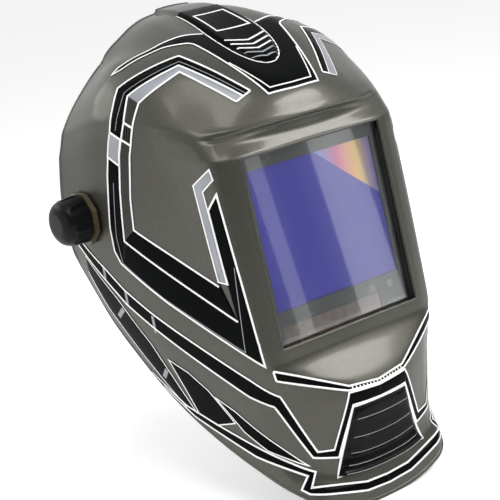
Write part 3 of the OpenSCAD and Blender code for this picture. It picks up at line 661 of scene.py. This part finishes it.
def stripe(path, width=STRIPE, kind="white", both=True, closed=False, lift=0.0):
    """A painted line along form positions, mitred at its corners."""
    places = np.array(resample(list(path), STRIPE_STEP, closed))
    for sign in ((1, -1) if both else (1,)):
        points, normals = skin(places[:, 0], sign * places[:, 1], GRAPHIC_LIFT[kind] + lift)
        forward = unit(np.roll(points, -1, 0) - points)
        back = unit(points - np.roll(points, 1, 0))
        if not closed:
            forward[-1], back[0] = back[-1], forward[0]
        side_a, side_b = unit(np.cross(forward, normals)), unit(np.cross(back, normals))
        middle = unit(side_a + side_b)
        reach = width / 2 / np.clip((middle * side_a).sum(1, keepdims=True), 0.35, 1)
        n = len(points)
        verts = np.concatenate([points - middle * reach, points + middle * reach])
        count = n if closed else n - 1
        add_mesh(kind, verts, [(i, (i + 1) % n, n + (i + 1) % n, n + i) if sign > 0 else
                               (n + i, n + (i + 1) % n, (i + 1) % n, i) for i in range(count)])


def crown_graphics():
    """Black field on the crown, its white frame and the hood with its louvre stripes and gloss panel."""
    wedge_top = [(11.51, -5.69), (11.82, -5.56), (12.85, -3.74), (12.97, -1.13)]
    wedge_low = [(11.51, -5.69), (11.71, -5.37), (12.71, -3.42), (12.69, -2.10), (12.64, -1.93),
                 (11.53, -1.12), (10.94, -0.88)]
    near = [(13.94, -1.04), (13.05, -1.04)] + wedge_top[::-1] + wedge_low[1:]
    patch("black", near + flip(near)[::-1], both=False)
    stripe(wedge_top)
    front = wedge_low + [(10.95, 0.0)]
    stripe(front + flip(front)[-2::-1], both=False)
    inner = [(12.05, -1.36), (11.14, -0.74), (11.16, 0.0)]
    stripe(inner + flip(inner)[-2::-1], 0.9 * MM, both=False)
    tip = [(HOOD_SHOULDER - (HOOD_SHOULDER - HOOD_TIP) * math.cos(math.radians(a)),
            HOOD_HALF * math.sin(math.radians(a))) for a in range(-90, 91, 6)]
    stripe([(13.94, -HOOD_HALF)] + tip + [(13.94, HOOD_HALF)], both=False)
    for k in range(5):
        row = 12.16 + 0.115 * k
        reach = 0.84 * HOOD_HALF * math.sqrt(1 - hood_ahead(row) ** 2)
        paint = "silver" if k < 2 else "white"
        stripe([(row, -reach), (row - 0.05, 0.0), (row, reach)], 1.3 * MM, paint, both=False)
    stripe([(13.57, -0.72), (13.60, 0.62), (12.92, 0.72), (12.92, -0.66)], both=False, closed=True)


def side_graphics():
    """The big black bracket on each side, with its inner band, silver tabs and the bar by the window."""
    outer = [(11.15, -1.31), (12.25, -2.89), (10.98, -5.20), (9.33, -5.21), (7.97, -5.24), (7.70, -5.33),
             (6.70, -5.48), (6.14, -5.46), (5.85, -5.33), (5.75, -4.35), (5.00, -3.16), (4.77, -2.88)]
    front = [(6.77, -2.90), (7.68, -2.97), (7.49, -3.22)]
    second = [(11.03, -1.55), (11.92, -3.09), (10.73, -4.78), (9.82, -4.77), (8.94, -4.83), (7.86, -4.91),
              (7.50, -5.00), (6.63, -5.11), (6.44, -4.03), (6.26, -3.18)]
    third = [(10.90, -1.78), (11.73, -3.15), (10.55, -4.39), (9.58, -4.50), (8.62, -4.54), (7.42, -4.74),
             (6.95, -4.79), (6.78, -4.00), (6.61, -3.35)]
    patch("black", outer[:9] + second[7:2:-1] + second[2::-1])
    patch("black", outer[8:] + front + [(6.68, -3.20), (6.26, -3.18), (6.44, -4.03), (6.63, -5.11)])
    patch("silver", second[:3] + third[2::-1])
    patch("smoke", second[2:8] + third[6:1:-1])
    patch("black", second[7:] + [(6.68, -3.34)] + third[:5:-1])
    patch("black", [(9.82, -4.77), (9.58, -4.50), (8.62, -4.54), (8.96, -4.83)])
    stripe(outer + front[:2] + [front[2], (6.68, -3.20)])
    stripe([(11.15, -1.31), (10.90, -1.78)])
    stripe(second)
    stripe(third)
    stripe([(11.05, -1.42), (12.05, -3.0), (10.83, -4.92), (9.4, -5.03)], 0.5 * MM, "silver")
    stripe([(7.6, -5.17), (6.6, -5.33), (6.02, -5.28), (5.93, -4.4), (5.3, -3.2), (6.9, -2.98)], 0.5 * MM,
           "silver")
    stripe([(9.82, -4.77), (9.58, -4.50)])
    stripe([(8.96, -4.83), (8.62, -4.54)])
    tab = [(9.33, -5.21), (8.95, -4.85), (7.86, -4.91), (8.00, -5.24)]
    patch("silver", tab)
    stripe(tab, closed=True)
    bar = [(7.94, -3.00), (7.83, -2.97), (7.69, -3.24), (6.68, -3.19), (6.67, -3.34), (7.74, -3.38)]
    patch("silver", bar)
    stripe(bar, 0.9 * MM, closed=True)


def cheek_graphics():
    """Long band that sweeps from the pivot to the chin, and the faceted panels under it."""
    upper = [(3.80, -6.60), (3.76, -5.84), (3.76, -5.39), (3.87, -4.82), (3.86, -4.00), (3.66, -3.20),
             (3.47, -2.58)]
    lower = [(3.20, -6.60), (3.18, -5.86), (3.22, -5.36), (3.37, -4.77), (3.36, -4.03), (3.20, -3.18),
             (3.17, -2.70)]
    patch("black", upper + lower[::-1])
    stripe(upper)
    stripe(lower)
    for column in (-5.86, -5.36, -4.79):
        stripe([(3.22, column + 0.02), (3.78, column)], 2.2 * MM, "silver")
    blade = [(3.05, -6.40), (2.95, -5.60), (2.63, -4.93), (1.85, -4.50), (0.93, -4.38), (0.55, -4.62),
             (0.95, -4.85), (1.45, -5.26), (1.70, -5.89), (2.2, -6.40)]
    patch("black", blade)
    stripe(blade[:5], 0.8 * MM)
    stripe(blade[5:], 0.8 * MM)
    for row, column in ((2.55, -5.60), (1.95, -4.82)):
        stripe([(row - 0.42, column - 0.04), (row + 0.24, column + 0.12)], 3.2 * MM, "silver")
    fin = [(2.64, -4.60), (2.74, -4.23), (2.64, -3.89), (2.20, -3.49), (1.35, -3.95), (1.08, -4.32)]
    patch("black", fin)
    stripe(fin, 0.8 * MM, closed=True)
    spear = [(2.58, -3.78), (2.56, -3.45), (2.41, -3.05), (1.98, -2.06), (1.95, -2.95), (2.12, -3.35)]
    patch("black", spear)
    stripe(spear, 0.8 * MM, closed=True)


def chin_graphics():
    """Band down to the chin vent and round it, the ledge stripe with its ticks, and the rim band."""
    outer = [(3.47, -2.58), (2.32, -1.80), (2.32, -1.38), (3.51, -0.95), (3.51, 0.0)]
    inner = [(3.17, -2.70), (2.20, -1.93), (2.16, -1.27), (2.99, -0.88), (2.97, 0.0)]
    patch("black", outer + inner[::-1])
    stripe(outer)
    stripe(inner)
    top = [(4.51, -2.72), (3.88, -0.91), (3.88, 0.0)]
    low = [(3.92, -2.72), (3.64, -0.94), (3.64, 0.0)]
    patch("black", top + low[::-1])
    stripe(top)
    stripe(low)
    stripe([(4.51, -2.72), (3.92, -2.72)])
    for k in range(8):
        stripe([(3.66, -0.06 - 0.11 * k), (3.86, -0.06 - 0.11 * k)], 0.9 * MM)
    rim_top = [(0.20, -5.30), (0.75, -4.60), (1.10, -4.30), (1.82, -3.20), (1.83, -1.94), (0.93, -2.20),
               (1.22, -0.62), (1.22, 0.0)]
    rim_low = [(0.12, -5.10), (0.36, -4.50), (1.05, -3.34), (1.56, -2.18), (0.45, -2.48), (0.42, -2.28),
               (0.77, -0.66), (0.77, 0.0)]
    patch("black", rim_top + rim_low[::-1])
    stripe(rim_top)
    stripe(rim_low)


def build_graphics():
    crown_graphics()
    side_graphics()
    cheek_graphics()
    chin_graphics()
    for kind, (verts, faces) in graphics.items():
        piece = new_piece("graphic_" + kind, verts, faces, PAINTS[kind], "shell",
                          smooth_angle=60)
        solid = piece.modifiers.new("film", "SOLIDIFY")
        solid.thickness = GRAPHIC_THICK
        solid.offset = -1


# ---------------------------------------------------------------- chin vent
LOUVRES = 5
VENT_ROWS = (1.66, 2.93)
VENT_HALF = (1.36, 0.86)  # half width in columns at the foot and at the head
VENT_SAG = 0.035  # how far the middle of a louvre hangs, as a share of the vent's height
LIP_SHARE = 0.22  # share of a louvre's height that its rounded lower lip takes
BLADE_OUT = 1.9 * MM
BLADE_BASE, VENT_BACK = 0.6 * MM, 0.12 * MM


def vent_place(t, s):
    """Row and column at height t and share s of the half width of the vent."""
    row = VENT_ROWS[0] + (VENT_ROWS[1] - VENT_ROWS[0]) * t
    return row, s * (VENT_HALF[0] + (VENT_HALF[1] - VENT_HALF[0]) * t)


def louvre_line(t, n=9):
    """Form positions along a louvre at height t: the middle hangs lower than the ends."""
    shares_of_half = np.linspace(-0.86, 0.86, n)
    return [vent_place(t - VENT_SAG * (1 - s * s) * math.sin(math.pi * t), s) for s in shares_of_half]


def build_chin_vent():
    """Louvred insert: each blade slopes out and curls under at its lower edge."""
    n_rows, n_cols = LOUVRES * 14 + 1, 49
    t, s = np.meshgrid(np.linspace(0, 1, n_rows), np.linspace(-1, 1, n_cols), indexing="ij")
    t, s = t.ravel(), s.ravel()
    straightened = t + VENT_SAG * (1 - s * s) * np.sin(math.pi * t)
    phase = np.clip(straightened * LOUVRES, 0, LOUVRES - 1e-6) % 1
    slope = 1 - 0.85 * smooth((phase - LIP_SHARE) / (1 - LIP_SHARE))
    blade = BLADE_OUT * np.where(phase < LIP_SHARE, smooth(phase / LIP_SHARE), slope)
    fade = smooth(np.minimum(np.minimum(t, 1 - t) * 14, (1 - np.abs(s)) * 10))
    rows, cols = vent_place(t, s)
    front, _ = skin(rows, cols, BLADE_BASE + blade * fade)
    back, _ = skin(rows, cols, VENT_BACK)
    vent = new_piece("chin_louvres", np.concatenate([front, back]), thick_faces(n_rows, n_cols),
                     MATERIALS["vent_black"], "shell", smooth_angle=40)
    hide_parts("chin_vent")
    border = [vent_place(t, s) for t, s in ((0, -1), (1, -1), (1, 1), (0, 1))]
    stripe(border, 1.8 * MM, both=False, closed=True)
    # painted highlights: thin silver lines along the louvre lips, where their edges catch the light
    for k in range(LOUVRES):
        stripe(louvre_line((k + 0.24) / LOUVRES), 0.4 * MM, "silver", both=False, lift=2.25 * MM)


# ---------------------------------------------------------------- lens dressing
def plate_piece(name, outline, y0, y1, material):
    """A flat plate in the lens frame, from an outline of (x, z)."""
    n = len(outline)
    verts = [LENS @ Vector((x, y, z)) for y in (y0, y1) for x, z in outline]
    faces = [tuple(range(n)), tuple(reversed(range(n, 2 * n)))]
    faces += [(i, n + i, n + (i + 1) % n, (i + 1) % n) for i in range(n)]
    return new_piece(name, verts, faces, material, "shell", smooth_angle=30)


def build_filter_sheen():
    """The rainbow corner, a painted reflection: a thin triangle just in front of the filter glass."""
    glass_front, top, foot = 7.4 * MM, 49.7 * MM, 13 * MM
    corner = [(SHEEN_X[0], top), (SHEEN_X[1], top), (SHEEN_X[1], foot)]
    plate_piece("filter_sheen", corner, glass_front - 0.25 * MM, glass_front - 0.05 * MM, painted_rainbow_reflection())


# ---------------------------------------------------------------- pads
PAD_VOXEL = 4 * MM
PAD_CAP = 2.5 * MM
PAD_SQUARE = 0.55  # power of the pad's section: 1 is an ellipse, 0 a rectangle
PAD_PRESSURE = 4
CLOTH_FRAMES = 20


def end_taper(t):
    """Width of the pad at share t of its length: full, with rounded ends."""
    past = abs(2 * t - 1) - 0.9
    return math.sqrt(max(1 - past ** 2 / 0.0105, 0.05)) if past > 0 else 1.0


def arc_pad_mesh(radius_in, radius_out, centre_y, start, end, height, ring=18, steps=56):
    """Closed bar with a pillowed section, bent round an arc in the headband's plane."""
    verts, faces = [], []
    mid, half = (radius_in + radius_out) / 2, (radius_out - radius_in) / 2
    for i in range(steps + 1):
        t = i / steps
        a = math.radians(start + (end - start) * t)
        taper = end_taper(t)
        for j in range(ring):
            b = 2 * math.pi * j / ring
            c, s = math.cos(b), math.sin(b)
            r = mid + half * math.copysign(abs(c) ** PAD_SQUARE, c) * (0.55 + 0.45 * taper)
            z = height / 2 * math.copysign(abs(s) ** PAD_SQUARE, s) * taper
            verts.append(BAND @ Vector((r * math.cos(a), centre_y + r * math.sin(a), z)))
    for i in range(steps):
        for j in range(ring):
            k = (j + 1) % ring
            faces.append((i * ring + j, (i + 1) * ring + j, (i + 1) * ring + k, i * ring + k))
    faces += [tuple(range(ring)), tuple(reversed([steps * ring + j for j in range(ring)]))]
    return verts, faces


def inflate(obj):
    """Remeshes the pad, blows it up as cloth, and keeps every point within PAD_CAP of where it began."""
    remesh = obj.modifiers.new("remesh", "REMESH")
    remesh.mode = "VOXEL"
    remesh.voxel_size = PAD_VOXEL
    bpy.context.view_layer.objects.active = obj
    bpy.ops.object.modifier_apply(modifier=remesh.name)
    before = np.array([v.co for v in obj.data.vertices])
    cloth = obj.modifiers.new("cloth", "CLOTH")
    cloth.settings.use_pressure = True
    cloth.settings.uniform_pressure_force = PAD_PRESSURE
    cloth.settings.effector_weights.gravity = 0
    for number in range(1, CLOTH_FRAMES + 1):
        bpy.context.scene.frame_set(number)
    bpy.ops.object.modifier_apply(modifier=cloth.name)
    bpy.context.scene.frame_set(1)
    after = np.array([v.co for v in obj.data.vertices])
    move = after - before
    reach = np.linalg.norm(move, axis=1, keepdims=True)
    after = before + move * np.minimum(1, PAD_CAP / np.maximum(reach, 1e-9))
    obj.data.vertices.foreach_set("co", after.astype(np.float32).ravel())
    sub = obj.modifiers.new("smooth", "SUBSURF")
    sub.levels = sub.render_levels = 1
    bpy.ops.object.modifier_apply(modifier=sub.name)


SEAM_IN = 4.5 * MM  # from the long edge to its seam
SEAM_DEPTH, SEAM_WIDTH = 1.5 * MM, 1.6 * MM
EDGE_DEPTH, EDGE_WIDTH = 1.0 * MM, 1.3 * MM


def sew(obj, centre_y, mid_radius, angles, half_height):
    """Presses a sewn channel into the pad at each angle and along its two long edges."""
    back = BAND.inverted()
    for v in obj.data.vertices:
        p = back @ v.co
        flat = Vector((p.x, p.y - centre_y, 0))
        r = flat.length
        a = math.degrees(math.atan2(flat.y, flat.x)) % 360
        gap = min(abs(a - seam) * math.radians(1) * r for seam in angles)
        along = abs(abs(p.z) - (half_height - SEAM_IN))
        press = SEAM_DEPTH * math.exp(-(gap / SEAM_WIDTH) ** 2)
        press += EDGE_DEPTH * math.exp(-(along / EDGE_WIDTH) ** 2)
        toward = -1 if r > mid_radius else 1
        q = flat.normalized() * (r + toward * min(press, abs(r - mid_radius) * 0.7))
        v.co = BAND @ Vector((q.x, q.y + centre_y, p.z))


def build_pad(name, node, body, radius_in, radius_out, centre_y, start, end, height, seams):
    """A stuffed pad round an arc from start to end degrees, with evenly spaced seams across it."""
    room = 0.7 * MM
    verts, faces = arc_pad_mesh(radius_in + room, radius_out - room, centre_y, start + 1, end - 1,
                                height - 2 * MM)
    mesh = bpy.data.meshes.new(name)
    mesh.from_pydata([tuple(v) for v in verts], [], faces)
    obj = bpy.data.objects.new(name, mesh)
    bpy.context.scene.collection.objects.link(obj)
    inflate(obj)
    angles = [start + (end - start) * (k + 1) / (seams + 1) for k in range(seams)]
    sew(obj, centre_y, (radius_in + radius_out) / 2, angles, height / 2)
    obj.data.materials.clear()
    obj.data.materials.append(MATERIALS["pad_fabric"])
    obj.data.shade_smooth()
    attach(obj, body)
    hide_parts(node)


def build_pads():
    build_pad("brow_pad", "sweatband", "headgear", 70.6 * MM, 77.3 * MM, -17 * MM, 202, 338, 34 * MM, 5)
    build_pad("nape_pad", "rear_pad", "rear_unit", 68.3 * MM, 75.0 * MM, 17 * MM, 55, 125, 30 * MM, 2)


# ---------------------------------------------------------------- stage, lights and camera
CAMERA_AT = Vector((-0.5415, -0.7937, 0.2246))
CAMERA_AXES = ((0.7888, -0.6007, -0.1301), (0.2692, 0.1474, 0.9517), (-0.5525, -0.7858, 0.2780))  # x, y, z
CAMERA_LENS_MM, SENSOR_MM = 105.74, 36
COVER_FRONT = 4.7 * MM  # front face of the cover lens, in the lens frame
WORLD_FRONT = 0.28
WORLD_BACK = 1.0
FLOOR_GLOW = 0.3


def build_stage():
    floor_mesh = bpy.data.meshes.new("floor")
    size, front, low = 6.0, -1.2, cad_box[0].z - 0.5 * MM
    corners = [(-size, front, low), (size, front, low), (size, size, low), (-size, size, low)]
    floor_mesh.from_pydata(corners, [], [(0, 1, 2, 3)])
    floor = bpy.data.objects.new("floor", floor_mesh)
    floor_mesh.materials.append(floor_paper())
    bpy.context.scene.collection.objects.link(floor)
    bpy.context.scene.world = studio_world()


def floor_paper():
    """White paper, lit a little from below like a light table."""
    m = surface("floor_paper", (0.92, 0.92, 0.92), 0.9, vary=0.01, grain_height=FINE)
    shader = m.node_tree.nodes["Principled BSDF"]
    shader.inputs["Emission Color"].default_value = (1, 1, 1, 1)
    shader.inputs["Emission Strength"].default_value = FLOOR_GLOW
    return m


def studio_world():
    """White studio behind the helmet, dim in front of it, so that glossy paint keeps its contrast."""
    world = bpy.data.worlds.new("studio")
    world.use_nodes = True
    tree = world.node_tree
    coords = tree.nodes.new("ShaderNodeTexCoord")
    split = tree.nodes.new("ShaderNodeSeparateXYZ")
    fade = tree.nodes.new("ShaderNodeMapRange")
    fade.inputs["From Min"].default_value = -0.25
    fade.inputs["From Max"].default_value = 0.35
    fade.inputs["To Min"].default_value = WORLD_FRONT
    fade.inputs["To Max"].default_value = WORLD_BACK
    tree.links.new(coords.outputs["Generated"], split.inputs["Vector"])
    tree.links.new(split.outputs["Y"], fade.inputs["Value"])
    tree.links.new(fade.outputs["Result"], tree.nodes["Background"].inputs["Strength"])
    tree.nodes["Background"].inputs["Color"].default_value = (1, 1, 1, 1)
    return world


def softbox(name, location, target, width, height, power):
    light = bpy.data.lights.new(name, "AREA")
    light.shape = "RECTANGLE"
    light.size, light.size_y, light.energy = width, height, power
    obj = bpy.data.objects.new(name, light)
    obj.location = location
    obj.rotation_euler = (Vector(target) - Vector(location)).to_track_quat("-Z", "Y").to_euler()
    bpy.context.scene.collection.objects.link(obj)


def lens_glint(x_mm, width, power, reach=1.0):
    """A strip light where the cover lens mirrors it to the camera as a band at x_mm across the lens."""
    normal = (LENS.to_3x3() @ Vector((0, -1, 0))).normalized()
    spot = LENS @ Vector((x_mm * MM, COVER_FRONT, 0))
    ray = (spot - CAMERA_AT).normalized()
    bounced = ray - 2 * ray.dot(normal) * normal
    softbox("glint_%d" % x_mm, spot + bounced * reach, spot, width, 1.3, power)


def build_lights():
    softbox("key_top", (-0.25, -0.45, 1.1), (0, -0.03, 0.02), 0.7, 0.5, 6)
    softbox("fill_left", (-1.2, -0.2, 0.25), (0, 0, 0), 0.6, 0.9, 2.2)
    softbox("ledge_box", (0.55, -0.65, 0.62), (0, -0.13, -0.1), 0.45, 0.3, 6)
    softbox("back_rim", (-0.5, 0.75, 0.55), (-0.05, 0, 0.05), 0.6, 0.35, 2)
    lens_glint(-37, 0.02, 0.09)
    lens_glint(24, 0.06, 0.4)


def build_camera():
    camera = bpy.data.objects.new("camera", bpy.data.cameras.new("camera"))
    camera.data.lens = CAMERA_LENS_MM
    camera.data.sensor_width = SENSOR_MM
    camera.matrix_world = Matrix.Translation(CAMERA_AT) @ Matrix(CAMERA_AXES).transposed().to_4x4()
    bpy.context.scene.collection.objects.link(camera)
    bpy.context.scene.camera = camera


build_camera()
build_stage()
build_lights()
bpy.context.scene.view_settings.view_transform = "Standard"
build_shell()
build_rim_bead()
build_window_lip()
build_chin_vent()
build_graphics()
build_filter_sheen()
build_pads()
